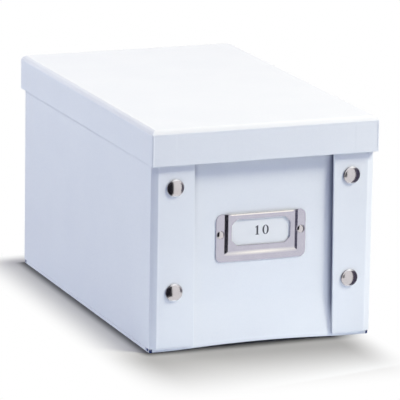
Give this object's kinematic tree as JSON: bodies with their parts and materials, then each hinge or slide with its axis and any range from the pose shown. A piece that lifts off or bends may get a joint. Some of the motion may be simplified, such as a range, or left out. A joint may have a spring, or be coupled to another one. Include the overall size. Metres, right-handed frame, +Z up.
{
  "type": "lidded board storage box",
  "caption": "Lidded box of white paper-covered board for disc cases, with folded end flaps, press studs and a metal label holder.",
  "frame": {"origin": "on the table, under the middle of the lid", "axes": "+X to the right seen from the front, the front faces -Y, +Z up"},
  "size_m": [0.16, 0.262, 0.15],
  "materials": {
    "wall_board": "greyboard covered with matt white paper",
    "lid_board": "greyboard covered with matt white paper",
    "hinge_paper": "matt white paper, creased",
    "card_paper": "smooth white card",
    "satin_steel": "satin nickel-plated pressed steel",
    "polished_nickel": "polished nickel plate",
    "plain_brass": "plain brass, hidden"
  },
  "bodies": {
    "box": {"base_panel": "wall_board", "left_wall": "wall_board", "right_wall": "wall_board", "front_wall": "wall_board", "rear_wall": "wall_board", "front_left_flap": "wall_board", "front_left_corner_hinge": "hinge_paper", "front_right_flap": "wall_board", "front_right_corner_hinge": "hinge_paper", "rear_left_flap": "wall_board", "rear_left_corner_hinge": "hinge_paper", "rear_right_flap": "wall_board", "rear_right_corner_hinge": "hinge_paper", "left_base_hinge": "hinge_paper", "right_base_hinge": "hinge_paper", "front_base_hinge": "hinge_paper", "rear_base_hinge": "hinge_paper", "press_stud_caps": "polished_nickel", "press_stud_sockets": "plain_brass", "press_stud_studs": "plain_brass", "press_stud_posts": "polished_nickel", "label_holder": "satin_steel", "label_rivets": "polished_nickel"},
    "lid": {"lid_top": "lid_board", "lid_left_skirt": "lid_board", "lid_left_hinge": "hinge_paper", "lid_right_skirt": "lid_board", "lid_right_hinge": "hinge_paper", "lid_front_skirt": "lid_board", "lid_front_hinge": "hinge_paper", "lid_rear_skirt": "lid_board", "lid_rear_hinge": "hinge_paper"},
    "label_card": {"label_card": "card_paper"}
  },
  "joints": [
    {"name": "lid_lift", "type": "slide", "parent": "box", "child": "lid", "axis": [0, 0, 1], "range_m": [0, 0.2]},
    {"name": "card_slide", "type": "slide", "parent": "box", "child": "label_card", "axis": [0, 0, 1], "range_m": [0, 0.03]}
  ]
}
